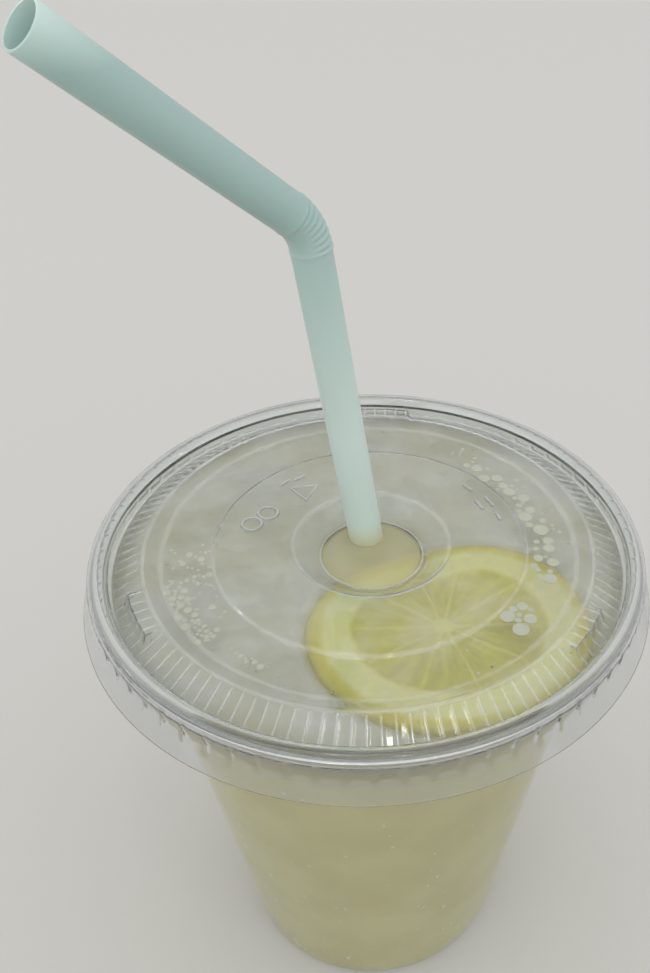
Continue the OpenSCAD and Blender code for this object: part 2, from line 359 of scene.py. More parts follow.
def thermoformed_pet_cup(c, s):
    """Thermoformed clear PET: smooth, high index, faint flow waves, paler where folds stretched it."""
    def build(tree):
        place = add(tree, "TexCoord").outputs["Object"]
        height = add(tree, "SeparateXYZ", None, {0: place}).outputs["Z"]
        share = add(tree, "Math", {"operation": "MULTIPLY", 1: 1 / s.height}, {0: height})
        stops = []
        for fold, half, clear in ((0.7 * MM, 0.6, 0.75), (s.foot_h, 0.5, 0.78),
                                  (s.height - 2 * s.roll_r - s.band_h, 0.4, 0.85)):
            stops += [((fold + side * half * MM) / s.height, grey(level))
                      for side, level in ((-1, 1.0), (0, clear), (1, 1.0))]
        folds = add(tree, "ValToRGB", None, {"Fac": share}, stops)
        wide, high = 11.1 * MM, 71.4 * MM
        tall = add(tree, "Mapping", {"Scale": (1 / wide, 1 / wide, 1 / high)}, {"Vector": place})
        waves = add(tree, "TexNoise", {"Scale": 1.0, "Detail": 2.0}, {"Vector": tall})
        bump = add(tree, "Bump", {"Strength": 0.15, "Distance": 0.3 * MM}, {"Height": waves})
        return {"Normal": bump, "Transmission Weight": folds}
    return material_of("thermoformed_pet_cup", {
        "Base Color": c.clear, "Roughness": 0.03, "IOR": 1.57}, build)


def thermoformed_pet_lid(c, s):
    """Thermoformed clear PET, damp below: a thin haze in patches, and painted highlights: whiter rings
    along the folds and whiter crests on the ribs, standing in for the light lines they catch.
    """
    def build(tree):
        place = add(tree, "TexCoord").outputs["Object"]
        patch, ripple = 13.3 * MM, 6.25 * MM
        patches = add(tree, "TexNoise", {"Scale": 1 / patch, "Detail": 4.0, "Roughness": 0.6},
                      {"Vector": place})
        haze = add(tree, "MapRange", {
            "From Min": 0.42, "From Max": 0.62, "To Min": 0.03, "To Max": 0.13}, {"Value": patches})
        flat = add(tree, "VectorMath", {"operation": "MULTIPLY", 1: (1.0, 1.0, 0.0)}, {0: place})
        radius = add(tree, "VectorMath", {"operation": "LENGTH"}, {0: flat})
        reach, stops = 50 * MM, []
        share = add(tree, "Math", {"operation": "MULTIPLY", 1: 1 / reach}, {0: radius.outputs["Value"]})
        # Painted highlights: a whiter ring at each fold of the sheet, standing in for the light lines
        # these edges catch.
        for fold, half, white in (
                (s.hole_r + 0.1 * MM, 0.3, 0.2), (s.dish_r, 0.5, 0.14), (s.disc_r - 0.3 * MM, 0.4, 0.14),
                (s.deck_r, 0.7, 0.12), (s.crest_r - 0.4 * MM, 0.5, 0.14), (s.slope_r, 0.3, 0.14)):
            stops += [((fold + side * half * MM) / reach, grey(level))
                      for side, level in ((-1, 0.0), (0, white), (1, 0.0))]
        folds = add(tree, "ValToRGB", None, {"Fac": share}, stops)
        # Painted highlights: the crests of the ribs on the slope are made whiter, standing in for the
        # light lines the ribs catch.
        axes = add(tree, "SeparateXYZ", None, {0: place})
        around = add(tree, "Math", {"operation": "ARCTAN2"},
                     {0: axes.outputs["Y"], 1: axes.outputs["X"]})
        wave = add(tree, "Math", {"operation": "MULTIPLY", 1: float(s.ribs)}, {0: around})
        rib = add(tree, "Math", {"operation": "COSINE"}, {0: wave})
        ridge = add(tree, "MapRange", {
            "From Min": -0.82, "From Max": -0.99, "To Min": 0.0, "To Max": 0.2}, {"Value": rib})
        start, end = s.crest_r / reach, s.slope_r / reach
        on_slope = add(tree, "ValToRGB", None, {"Fac": share}, [
            (0.0, grey(0.0)), (start, grey(0.0)), (start + 0.008, grey(1.0)),
            (end - 0.004, grey(1.0)), (end + 0.004, grey(0.0))])
        ribs = add(tree, "Math", {"operation": "MULTIPLY_ADD"}, {0: ridge, 1: on_slope, 2: folds})
        damp = add(tree, "MapRange", {
            "From Min": s.slope_r, "From Max": s.slope_r + 1.5 * MM, "To Min": 1.0, "To Max": 0.2},
            {"Value": radius.outputs["Value"]})
        white = add(tree, "Math", {"operation": "MULTIPLY_ADD"}, {0: haze, 1: damp, 2: ribs})
        clear = add(tree, "Math", {"operation": "SUBTRACT", 0: 1.0}, {1: white})
        rough = add(tree, "ValToRGB", None, {"Fac": patches},
                    [(0.45, grey(0.04)), (0.62, grey(0.16))])
        waves = add(tree, "TexNoise", {"Scale": 1 / ripple, "Detail": 1.0}, {"Vector": place})
        bump = add(tree, "Bump", {"Strength": 0.2, "Distance": 0.3 * MM}, {"Height": waves})
        thick = add(tree, "MapRange", {
            "From Min": s.slope_r + 1 * MM, "From Max": s.bead_r - 1 * MM},
            {"Value": radius.outputs["Value"]})
        tint = add(tree, "Mix", {"data_type": "RGBA", 6: c.clear, 7: c.clear_bead}, {0: thick})
        return {"Base Color": tint.outputs[2], "Transmission Weight": clear,
                "Roughness": rough, "Normal": bump}
    return material_of("thermoformed_pet_lid", {"IOR": 1.57}, build)


def stamped_pet(c):
    """The lid's sheet where a stamp has stretched it: the same gloss, a little whiter."""
    return material_of("stamped_pet", {
        "Base Color": c.clear, "Roughness": 0.06, "IOR": 1.57, "Transmission Weight": 0.8})


def cloudy_lemonade(c, top):
    """Lemonade with pulp: a wet surface over a milky yellow-green body that lets a little light in."""
    def build(tree):
        place = add(tree, "TexCoord").outputs["Object"]
        cloud = 18.2 * MM
        soft = add(tree, "TexNoise", {"Scale": 1 / cloud, "Detail": 3.0, "Roughness": 0.5},
                   {"Vector": place})
        body = add(tree, "ValToRGB", None, {"Fac": soft}, [(0.35, c.drink_deep), (0.62, c.drink)])
        height = add(tree, "SeparateXYZ", None, {0: place}).outputs["Z"]
        flat = add(tree, "VectorMath", {"operation": "MULTIPLY", 1: (1.0, 1.0, 0.0)}, {0: place})
        radius = add(tree, "VectorMath", {"operation": "LENGTH"}, {0: flat})
        froth = add(tree, "MapRange", {
            "From Min": 9 * MM, "From Max": 13 * MM, "To Min": 0.35, "To Max": 1.0},
            {"Value": radius.outputs["Value"]})
        on_top = add(tree, "MapRange", {"From Min": top - 1.2 * MM, "From Max": top - 0.3 * MM},
                     {"Value": height})
        still = add(tree, "MapRange", {
            "From Min": 9 * MM, "From Max": 11 * MM, "To Min": 0.55, "To Max": 0.28},
            {"Value": radius.outputs["Value"]})
        clear = add(tree, "Math", {"operation": "MULTIPLY"}, {0: still, 1: on_top})
        spread = add(tree, "MapRange", {
            "From Min": 0.4, "From Max": 0.62, "To Min": 0.4, "To Max": 0.95}, {"Value": soft})
        film = add(tree, "Math", {"operation": "MULTIPLY"}, {0: froth, 1: on_top})
        share = add(tree, "Math", {"operation": "MULTIPLY"}, {0: film, 1: spread})
        frothy = add(tree, "Mix", {"data_type": "RGBA", 7: c.froth}, {0: share, 6: body})
        return {"Base Color": frothy.outputs[2], "Transmission Weight": clear}
    return material_of("cloudy_lemonade", {
        "Roughness": 0.1, "IOR": 1.34, "Subsurface Weight": 0.35,
        "Subsurface Radius": (1.0, 0.9, 0.6), "Subsurface Scale": 4 * MM}, build)


def thick_lemonade(c):
    """The same lemonade where it is too deep to see through: milky, with no surface of its own."""
    return material_of("thick_lemonade", {
        "Base Color": c.drink_deep, "Roughness": 0.9, "IOR": 1.34, "Specular IOR Level": 0.0,
        "Subsurface Weight": 1.0, "Subsurface Radius": (1.0, 0.9, 0.6), "Subsurface Scale": 5 * MM})


def extruded_polypropylene(c, top):
    """Extruded polypropylene tube: milky, satin, thin enough to glow; it pales into the drink. Its
    colour holds painted shade, darker up the upper stretch, and painted light, paler again at the open
    end.
    """
    def build(tree):
        place = add(tree, "TexCoord").outputs["Object"]
        height = add(tree, "SeparateXYZ", None, {0: place}).outputs["Z"]
        depth = add(tree, "MapRange", {
            "From Min": top + 6 * MM, "From Max": top - 0.5 * MM, "To Min": 0.0, "To Max": 0.95},
            {"Value": height})
        # Painted shade: the straw's colour darkens up its upper stretch.
        high = add(tree, "MapRange", {"From Min": top + 25 * MM, "From Max": top + 65 * MM},
                   {"Value": height})
        tube = add(tree, "Mix", {"data_type": "RGBA", 6: c.straw, 7: c.straw_upper_painted_shade}, {0: high})
        sunk = add(tree, "Mix", {"data_type": "RGBA", 7: c.drink_deep},
                   {0: depth, 6: tube.outputs[2]})
        # Painted light: the open end turns pale again, lifting the shade inside the tube.
        tip_painted_light = add(tree, "MapRange", {"From Min": top + 86 * MM, "From Max": top + 94 * MM},
                  {"Value": height})
        pale = add(tree, "Mix", {"data_type": "RGBA", 7: c.straw}, {0: tip_painted_light, 6: sunk.outputs[2]})
        return {"Base Color": pale.outputs[2]}
    return material_of("extruded_polypropylene", {
        "Roughness": 0.38, "IOR": 1.49, "Transmission Weight": 0.08, "Subsurface Weight": 0.3,
        "Subsurface Radius": (0.8, 1.0, 0.95), "Subsurface Scale": 2 * MM}, build)


def lemon_flesh_and_skin(c, s):
    """Cut lemon: waxy oily skin, dry spongy pith, and wet translucent juice sacs between thin walls."""
    def build(tree):
        edge = add(tree, "Attribute", {"attribute_name": "from_edge"}).outputs["Fac"]
        wall = add(tree, "Attribute", {"attribute_name": "membrane"}).outputs["Fac"]
        grain = add(tree, "Attribute", {"attribute_name": "grain"}).outputs["Vector"]
        place = add(tree, "TexCoord").outputs["Object"]
        waver, pore = 5.26 * MM, 1.11 * MM
        span = 20  # how far in from the edge the ramp of layers reaches, in millimetres
        skin_end = s.rind / MM / span
        pith_end = (s.rind + s.pith) / MM / span
        wobble = add(tree, "TexNoise", {"Scale": 1 / waver, "Detail": 3.0}, {"Vector": place})
        near = add(tree, "Math", {"operation": "MULTIPLY_ADD", 1: 1 / span, 2: -0.035}, {0: edge})
        depth = add(tree, "Math", {"operation": "MULTIPLY_ADD", 1: 0.07}, {0: wobble, 2: near})
        layers = add(tree, "ValToRGB", None, {"Fac": depth}, [
            (0.0, c.rind_dark), (skin_end * 0.75, c.rind), (skin_end * 1.3, c.pith),
            (pith_end * 0.93, c.pith), (pith_end, c.membrane), (pith_end + 0.03, c.flesh)])
        sacs = add(tree, "TexNoise", {"Scale": 1.0, "Detail": 3.0, "Roughness": 0.6},
                   {"Vector": grain})
        shade = add(tree, "ValToRGB", None, {"Fac": sacs}, [(0.3, grey(0.78)), (0.7, grey(1.0))])
        in_flesh = add(tree, "MapRange", {"From Min": pith_end, "From Max": pith_end + 0.04},
                       {"Value": depth})
        juicy = add(tree, "Mix", {"data_type": "RGBA", "blend_type": "MULTIPLY"},
                    {0: in_flesh, 6: layers, 7: shade})
        veined = add(tree, "Mix", {"data_type": "RGBA", 7: c.membrane},
                     {0: wall, 6: juicy.outputs[2]})
        fine = add(tree, "TexNoise", {"Scale": 1 / pore, "Detail": 2.0}, {"Vector": place})
        bump = add(tree, "Bump", {"Strength": 0.35, "Distance": 0.2 * MM}, {"Height": fine})
        return {"Base Color": veined.outputs[2], "Normal": bump}
    return material_of("lemon_flesh_and_skin", {
        "Roughness": 0.35, "IOR": 1.38, "Subsurface Weight": 0.12,
        "Subsurface Radius": (1.0, 0.9, 0.4), "Subsurface Scale": 0.5 * MM}, build)


def trapped_air(c):
    """Air bubbles: thin walls with nothing inside, so they show as pale discs with bright rims."""
    return material_of("trapped_air", {
        "Base Color": c.air, "Roughness": 0.2, "IOR": 1.33, "Transmission Weight": 0.12})


def lemon_pulp(c):
    """Burst juice sacs and fine bubbles: small, pale and soft-edged."""
    return material_of("lemon_pulp", {
        "Base Color": c.air, "Roughness": 0.5, "IOR": 1.36})


def water(c):
    """Water drops: clear, with a low index."""
    return material_of("water", {
        "Base Color": c.clear, "Roughness": 0.0, "IOR": 1.33, "Transmission Weight": 1.0})


def studio_board(c):
    """Matt painted board for the floor, with a tooth drawn coarse enough to show."""
    def build(tree):
        place = add(tree, "TexCoord").outputs["Object"]
        tooth = 2.5 * MM
        bumps = add(tree, "TexNoise", {"Scale": 1 / tooth, "Detail": 2.0}, {"Vector": place})
        bump = add(tree, "Bump", {"Strength": 0.05, "Distance": 0.2 * MM}, {"Height": bumps})
        return {"Normal": bump}
    return material_of("studio_board", {"Base Color": c.floor, "Roughness": 0.8}, build)


# ---------------------------------------------------------------- outlines

def deck_z():
    """Height of the lid's flat deck."""
    return LID_HIGH.z - bpy.context.scene.lemonade_lid.bead_top


def cup_outside(s):
    """Outside of the cup, from its band down to the middle of its floor."""
    band_r = s.rim_r - 2 * s.roll_r + s.wall
    band_low = band_r - s.band_draft
    band_z = s.height - 2 * s.roll_r - s.band_h
    body_z = band_z - s.shoulder_h
    rest_in = s.foot_r - s.foot_face - 0.4 * MM
    return rounded([
        (band_r - 0.2 * MM, s.height - 1.9 * s.roll_r, 0),
        (band_low, band_z + 0.8 * MM, 0.8 * MM), (band_low - 0.4 * MM, band_z, 0.5 * MM),
        (s.body_top_r + 0.4 * MM, body_z + 0.4 * MM, 0.5 * MM), (s.body_top_r, body_z, 1.2 * MM),
        (s.body_low_r, s.foot_h + 0.4 * MM, 0.5 * MM), (s.foot_r, s.foot_h, 0.5 * MM),
        (s.foot_r, 0, 0.8 * MM), (rest_in, 0, 0.6 * MM),
        (rest_in - 0.6 * s.floor_rise, s.floor_rise, 1.2 * MM), (0, s.floor_rise, 0)])


def wall_below(s, gap, top):
    """The cup's wall drawn in by gap, from the middle of the floor up to the height top."""
    path = beside(cup_outside(s), gap)
    path[-1] = (0, s.floor_rise + gap)
    low = [p for p in path if p[1] < top]
    above = [p for p in path if p[1] >= top][-1]
    share = (top - low[0][1]) / (above[1] - low[0][1])
    return list(reversed([(mixed(low[0][0], above[0], share), top)] + low))


def slice_edge(s, a):
    """Radius of the lemon slice in direction a, pressed in on one side."""
    pressed = max(math.cos(a - s.flat_turn), 0) ** 2.5
    return s.radius - s.flat * pressed + 0.3 * MM * math.cos(3 * a + math.radians(60))


def straw_frame(s):
    """Places the straw's own axis: up along the lower stretch, from the middle of the lid's hole."""
    at = Vector((s.at_x, s.at_y, deck_z() - bpy.context.scene.lemonade_lid.hole_drop))
    turns = Matrix.Rotation(s.lean_turn, 4, "Z") @ Matrix.Rotation(s.lean, 4, "Y")
    return Matrix.Translation(at) @ turns @ Matrix.Rotation(s.bend_turn, 4, "Z")


# ---------------------------------------------------------------- pieces

class PieceOperator:
    """What every piece's operator shares."""
    bl_options = {"REGISTER", "UNDO"}

    def execute(self, context):
        self.make(context.scene, context.scene.lemonade_colours)
        return {"FINISHED"}


class LEMONADE_OT_cup(PieceOperator, bpy.types.Operator):
    """Makes the clear cup with its rolled rim, band, shoulder and foot"""
    bl_idname = "lemonade.cup"
    bl_label = "Clear Cup"

    def make(self, scene, c):
        s = scene.lemonade_cup
        outside = divided(cup_outside(s), 6 * MM)
        inside = beside(outside, s.wall)
        inside[-1] = (0, s.floor_rise + s.wall)
        roll = arc((s.rim_r - s.roll_r, s.height - s.roll_r), s.roll_r, -105, 175, 14)
        verts, faces = turned(list(reversed(outside)) + roll + inside, 256)
        cup = new_mesh("clear_cup", verts, faces, thermoformed_pet_cup(c, s), 50)
        placed(cup, "clear_cup", "cup")


class LEMONADE_OT_lid(PieceOperator, bpy.types.Operator):
    """Makes the flat lid with its bead, ribs, pads, nubs, deck, disc and dished straw hole"""
    bl_idname = "lemonade.lid"
    bl_label = "Flat Lid"

    def make(self, scene, c):
        s = scene.lemonade_lid
        z = deck_z()
        bead_in = s.bead_r - s.bead_w
        corners = [
            (bead_in, z - 1.0 * MM, 0), (bead_in - 0.3 * MM, z - s.groove_depth, 0.3 * MM),
            (s.slope_r, z - s.groove_depth, 0.3 * MM), (s.crest_r, z + s.crest_rise, 0.5 * MM),
            (s.crest_r - 0.9 * MM, z + s.crest_rise, 0.4 * MM), (s.deck_r, z, 1.1 * MM),
            (s.disc_r, z, 0.3 * MM), (s.disc_r - 0.6 * MM, z + s.disc_rise, 0.3 * MM),
            (s.dish_r + 0.6 * MM, z + s.disc_rise, 0.4 * MM),
            (s.dish_r, z + s.disc_rise - 0.4 * MM, 0.4 * MM),
            (s.hole_r + 1.0 * MM, z - s.hole_drop, 0.6 * MM), (s.hole_r, z - s.hole_drop, 0)]
        inner = rounded(corners, 2)
        slope = [p for p in inner if s.crest_r - 1.2 * MM < p[0] < s.slope_r + 0.1 * MM]
        first, last = inner.index(slope[0]), inner.index(slope[-1])
        inner = inner[:first] + divided(slope, 0.7 * MM) + inner[last + 1:]
        neck = (s.bead_r - 0.7 * MM, z - 2.5 * MM)
        skirt = [(SKIRT_R, z - s.skirt_h), (SKIRT_R - 0.25 * MM, z - s.skirt_h + 0.4 * MM)]
        outer = skirt + divided([skirt[-1], neck], 0.9 * MM)[1:]
        bead = arc((s.bead_r - s.bead_top, z), s.bead_top, -20, 80, 7)
        bead += arc((bead_in + s.bead_top, z), s.bead_top, 100, 180, 6)
        top = outer + bead + inner
        section = top + list(reversed(beside(top, -s.sheet)))
        verts, faces = turned(section, 6 * s.ribs, lambda r, h, a: self.relief(s, z, r, h, a), True)
        lid = new_mesh("flat_lid", verts, faces, thermoformed_pet_lid(c, s), 60)
        placed(lid, "clear_lid", "lid")

    def relief(self, s, z, r, h, a):
        """Ribs and pads on the slope, and nubs under the bead."""
        if r > s.bead_r - 1.2 * MM and h < z - 1.0 * MM:
            low = smooth(z - 3.5 * MM, z - 2.9 * MM, h) * (1 - smooth(z - 2.6 * MM, z - 1.8 * MM, h))
            wave = max(math.cos(a * s.nubs), 0) ** 3
            return r + s.nub_out * wave * low, h
        if not s.crest_r - 1.2 * MM < r < s.slope_r + 0.2 * MM:
            return r, h
        apart = TAU / s.pads
        off = (a - s.pad_turn + apart / 2) % apart - apart / 2
        half = s.pad_w / 2 / r
        pad_r = s.slope_r - 2.2 * MM
        pad = 1 - smooth(half, half + 0.3 * MM / r, abs(off))
        pad = pad * smooth(s.crest_r - 0.6 * MM, s.crest_r, r) * (1 - smooth(pad_r, pad_r + 0.2 * MM, r))
        share = min(max((s.slope_r - r) / (s.slope_r - s.crest_r), 0), 1)
        on_top = h > mixed(z - s.groove_depth, z + s.crest_rise, share) - 0.5 * s.sheet
        flat = z + s.crest_rise + 0.15 * MM - (0 if on_top else s.sheet)
        span = smooth(s.crest_r - 0.1 * MM, s.crest_r + 0.6 * MM, r)
        span *= 1 - smooth(s.slope_r - 0.3 * MM, s.slope_r + 0.2 * MM, r)
        wave = max(-math.cos(a * s.ribs), 0) ** 6
        return r, mixed(h, flat, pad) + s.rib_h * wave * span * (1 - pad)


class LEMONADE_OT_marks(PieceOperator, bpy.types.Operator):
    """Makes the plain raised marks moulded into the lid's disc: rings, a triangle and short bars"""
    bl_idname = "lemonade.marks"
    bl_label = "Moulded Marks"

    def make(self, scene, c):
        s = scene.lemonade_lid
        self.level = deck_z() + s.disc_rise
        verts, faces = [], []
        for radius, at, size, sides, spin in (
                (22.5, 167.5, 1.8, 24, 0), (20.9, 157.2, 1.8, 24, 0), (19.5, 131.0, 3.0, 3, 40)):
            middle = Vector((math.cos(math.radians(at)), math.sin(math.radians(at)))) * radius * MM
            line = [middle + Vector((math.cos(a), math.sin(a))) * size * MM
                    for a in (math.radians(spin) + TAU * i / sides for i in range(sides))]
            self.ridge(verts, faces, line, True)
        for radius, at, long in ((24.2, 134, 2.4), (23.6, 126.5, 2.4), (24.4, 38.9, 2.6),
                                 (22.9, 25.5, 3.0), (25.2, 25.5, 3.0), (24.8, 14.5, 2.2)):
            middle = Vector((math.cos(math.radians(at)), math.sin(math.radians(at)))) * radius * MM
            way = Vector((-middle.y, middle.x)).normalized() * long * MM / 2
            self.ridge(verts, faces, [middle - way, middle, middle + way], False)
        marks = new_mesh("moulded_marks", verts, faces, stamped_pet(c), 60)
        placed(marks, "clear_lid")

    def ridge(self, verts, faces, line, closed):
        """A low rounded ridge along a line on the disc."""
        around, half, rise, sink = 8, 0.38 * MM, 0.22 * MM, 0.08 * MM
        base, n = len(verts), len(line)
        for i, p in enumerate(line):
            before = line[i - 1] if closed or i else p
            after = line[(i + 1) % n] if closed or i < n - 1 else p
            way = (after - before).normalized()
            across = Vector((-way.y, way.x))
            for k in range(around):
                a = TAU * k / around
                q = p + across * half * math.cos(a)
                verts.append((q.x, q.y, self.level + (rise if math.sin(a) > 0 else sink) * math.sin(a)))
        for i in range(n if closed else n - 1):
            j = (i + 1) % n
            for k in range(around):
                m = (k + 1) % around
                faces.append((base + i * around + k, base + j * around + k,
                              base + j * around + m, base + i * around + m))
        if not closed:
            faces.append(tuple(base + k for k in range(around)))
            faces.append(tuple(base + (n - 1) * around + k for k in reversed(range(around))))


class LEMONADE_OT_straw(PieceOperator, bpy.types.Operator):
    """Makes the bendy straw as a thin tube with ridges round its bend"""
    bl_idname = "lemonade.straw"
    bl_label = "Bendy Straw"

    def make(self, scene, c):
        s = scene.lemonade_straw
        place = straw_frame(s)
        floor = scene.lemonade_cup.floor_rise + scene.lemonade_cup.wall
        down = (place.translation.z - floor - s.radius * math.sin(s.lean) - 0.2 * MM) / math.cos(s.lean)
        cut = s.bend_r * math.tan(s.bend / 2)
        corner, curve, upper = s.rise - cut, s.bend_r * s.bend, s.reach - cut
        coarse, fine, plain, ease = 60, 120, 30, 1 * MM
        spots = [-down + i * (down + corner - ease) / coarse for i in range(coarse + 1)]
        spots += [corner - ease + (i + 1) * (curve + 2 * ease) / fine for i in range(fine)]
        spots += [corner + curve + ease + (i + 1) * (upper - ease) / plain for i in range(plain)]
        rings = []
        for at in spots:
            past = min(max(at - corner, 0), curve) / s.bend_r
            middle = Vector((s.bend_r * (1 - math.cos(past)), 0, s.bend_r * math.sin(past)))
            way = Vector((math.sin(past), 0, math.cos(past)))
            straight = min(at, corner) * Vector((0, 0, 1)) + max(at - corner - curve, 0) * way
            side = Vector((way.z, 0, -way.x))
            rings.append((middle + straight, side, self.swell(s, at - corner, curve)))
        verts, faces, around = [], [], 64
        total = 2 * len(rings)
        for group, gap in ((rings, 0), (list(reversed(rings)), s.wall)):
            for middle, side, (ridge, rim) in group:
                for k in range(around):
                    a = TAU * k / around
                    out = side * math.cos(a) + Vector((0, 1, 0)) * math.sin(a)
                    swell = rim + ridge * smooth(0.6, -0.6, math.cos(a))
                    verts.append(place @ (middle + out * (s.radius + swell - gap)))
        for i in range(total):
            j = (i + 1) % total
            for k in range(around):
                m = (k + 1) % around
                faces.append((i * around + k, j * around + k, j * around + m, i * around + m))
        top = scene.lemonade_drink.level
        straw = new_mesh("bendy_straw", verts, faces, extruded_polypropylene(c, top), 50)
        placed(straw, "straw", "straw")

    def swell(self, s, past, curve):
        """How far the tube stands out past the start of the bend: its ridges, and a rim at each end."""
        phase = past / curve * s.ridges
        fade = smooth(-0.4 * MM, 0.2 * MM, past) * (1 - smooth(curve - 0.2 * MM, curve + 0.4 * MM, past))
        ends = (math.exp(-((past - at) / (0.45 * MM)) ** 2) for at in (0, curve))
        return s.ridge_h * (2 * abs(math.cos(math.pi * phase)) - 1.2) * fade, 0.6 * s.ridge_h * sum(ends)


def drink_top(scene, x, y, wall_r):
    """How far the drink's surface stands over its level at a place: it climbs what it wets."""
    d, wet = scene.lemonade_drink, 1.1 * MM
    straw, cut = scene.lemonade_straw, scene.lemonade_slice
    rise = d.meniscus * math.exp((math.hypot(x, y) - wall_r) / wet)
    off = math.hypot(x - straw.at_x, y - straw.at_y) - straw.radius
    rise += d.meniscus * math.exp(-max(off, 0) / wet)
    across, along = x - cut.at_x, y - cut.at_y
    past = math.hypot(across, along) - slice_edge(cut, math.atan2(along, across))
    rise += 0.2 * d.meniscus * math.exp(-abs(past) / wet)
    in_hole = 1 - smooth(9 * MM, 11 * MM, math.hypot(x, y))
    return mixed(rise - 1.3 * MM * smooth(-1.6 * MM, 0, -past), rise + 0.3 * MM, in_hole)


class LEMONADE_OT_drink(PieceOperator, bpy.types.Operator):
    """Makes the lemonade up to its level, with its curved edge, and its cloudy middle"""
    bl_idname = "lemonade.drink"
    bl_label = "Cloudy Lemonade"

    def make(self, scene, c):
        cup, d = scene.lemonade_cup, scene.lemonade_drink
        side = divided(wall_below(cup, 0.5 * cup.wall, d.level), 3 * MM)
        wall_r = side[-1][0]
        rows = 90
        surface = [(wall_r * (1 - (i / rows) ** 1.15), d.level) for i in range(rows + 1)]
        verts, faces = turned(side[:-1] + surface, 240)
        for i, (x, y, z) in enumerate(verts):
            if z > d.level - 0.01 * MM:
                ripple = 0.08 * MM * noise.noise(Vector((x, y, 0)) / (9 * MM))
                verts[i] = (x, y, z + ripple + drink_top(scene, x, y, wall_r))
        drink = new_mesh("cloudy_lemonade", verts, faces, cloudy_lemonade(c, d.level))
        placed(drink, "lemonade", "lemonade")
        deep = wall_below(cup, cup.wall + 1 * MM, d.level - d.core_gap) + [(0, d.level - d.core_gap)]
        verts, faces = turned(divided(deep, 4 * MM), 120)
        placed(new_mesh("lemonade_core", verts, faces, thick_lemonade(c)), "lemonade")


class LEMONADE_OT_slice(PieceOperator, bpy.types.Operator):
    """Makes the lemon slice with its skin, pith, segment walls and juice sacs"""
    bl_idname = "lemonade.slice"
    bl_label = "Lemon Slice"

    def make(self, scene, c):
        s = scene.lemonade_slice
        random.seed(11)
        self.walls = [(i + random.uniform(-0.16, 0.16)) * TAU / s.segments for i in range(s.segments)]
        self.core = Vector((-0.8, -1.6)) * MM
        around, steps = 360, 90
        top, low = SLICE_HIGH.z, SLICE_LOW.z
        verts, faces, edge, wall, grain = [], [], [], [], []
        wall_r = wall_below(scene.lemonade_cup, scene.lemonade_cup.wall + 0.1 * MM, low)[-1][0]
        rim = [(0.6, -0.12), (0.25, -0.35), (0.05, -0.8), (0, -1.5)]
        for k in range(around):
            a = TAU * k / around
            full = slice_edge(s, a)
            line = [((i + 1) / steps * (full - 0.9 * MM), None) for i in range(steps)]
            line += [(full - inset * MM, top + drop * MM) for inset, drop in rim]
            line += [(full - inset * MM, low - drop * MM) for inset, drop in reversed(rim)]
            line += [(share * (full - 0.9 * MM), low) for share in (0.9, 0.7, 0.45, 0.2)]
            for r, z in line:
                p = Vector((r * math.cos(a), r * math.sin(a)))
                depth = full - r
                if z is None:
                    sunk = 1 - smooth(8 * MM, 12 * MM, math.hypot(p.x + s.at_x, p.y + s.at_y))
                    z = top + self.relief(s, p, depth) - 1.3 * MM * sunk
                verts.append((p.x, p.y, z))
                edge.append(depth / MM)
                wall.append(self.membrane(s, p, depth))
                way = p - self.core
                away = math.atan2(way.y, way.x)
                grain.append((7 * math.cos(away), 7 * math.sin(away), way.length / (6 * MM)))
        n = len(verts) // around
        for k in range(around):
            j = (k + 1) % around
            faces += [(k * n + i, k * n + i + 1, j * n + i + 1, j * n + i) for i in range(n - 1)]
        middle = len(verts)
        for z in (top + self.relief(s, Vector((0, 0)), 20 * MM), low):
            verts.append((0, 0, z))
            edge.append(20)
            wall.append(0)
            grain.append((0, 0, 0))
        for k in range(around):
            j = (k + 1) % around
            faces.append((middle, k * n, j * n))
            faces.append((middle + 1, j * n + n - 1, k * n + n - 1))
        mesh = bpy.data.meshes.new("lemon_wheel")
        mesh.from_pydata([self.pressed(s, v, wall_r) for v in verts], [], faces)
        mesh.attributes.new("from_edge", "FLOAT", "POINT").data.foreach_set("value", edge)
        mesh.attributes.new("membrane", "FLOAT", "POINT").data.foreach_set("value", wall)
        flat = [x for g in grain for x in g]
        mesh.attributes.new("grain", "FLOAT_VECTOR", "POINT").data.foreach_set("vector", flat)
        mesh.shade_smooth()
        mesh.materials.append(lemon_flesh_and_skin(c, s))
        wheel = bpy.data.objects.new("lemon_wheel", mesh)
        wheel.location = (s.at_x, s.at_y, 0)
        scene.collection.objects.link(wheel)
        placed(wheel, "lemon", "lemon_slice")

    def pressed(self, s, v, wall_r):
        """The point, kept inside the cup's wall."""
        x, y = v[0] + s.at_x, v[1] + s.at_y
        share = min(1, wall_r / math.hypot(x, y))
        return (x * share - s.at_x, y * share - s.at_y, v[2])

    def membrane(self, s, p, depth):
        """1 on the thin walls between the segments and on the core, 0 between them."""
        way = p - self.core
        a = math.atan2(way.y, way.x) % TAU
        wavy = 0.25 * MM * noise.noise(Vector((p.x, p.y, 0)) / (5 * MM))
        near = min(abs(way.length * math.sin(a - w) + wavy) for w in self.walls
                   if math.cos(a - w) > 0 or way.length < 1 * MM)
        inner = smooth(s.rind + s.pith, s.rind + s.pith + 1 * MM, depth)
        star = 1 - smooth(1.2 * MM, 2.2 * MM, way.length + wavy * 2)
        return max((1 - smooth(0.12 * MM, 0.5 * MM, near)) * 0.75 * inner, star)

    def relief(self, s, p, depth):
        """Height of the cut face over its level: sunken sacs between raised walls, dimpled pith."""
        flesh = smooth(s.rind + s.pith - 0.4 * MM, s.rind + s.pith + 0.9 * MM, depth)
        sacs = noise.noise(Vector((p.x, p.y, 0)) / (1.3 * MM)) * 0.09 * MM
        dents = noise.noise(Vector((p.x, p.y, 5)) / (2.4 * MM)) * 0.07 * MM
        sunk = -0.32 * MM * flesh * (1 - self.membrane(s, p, depth))
        return sunk + mixed(dents, sacs, flesh) - 0.1 * MM


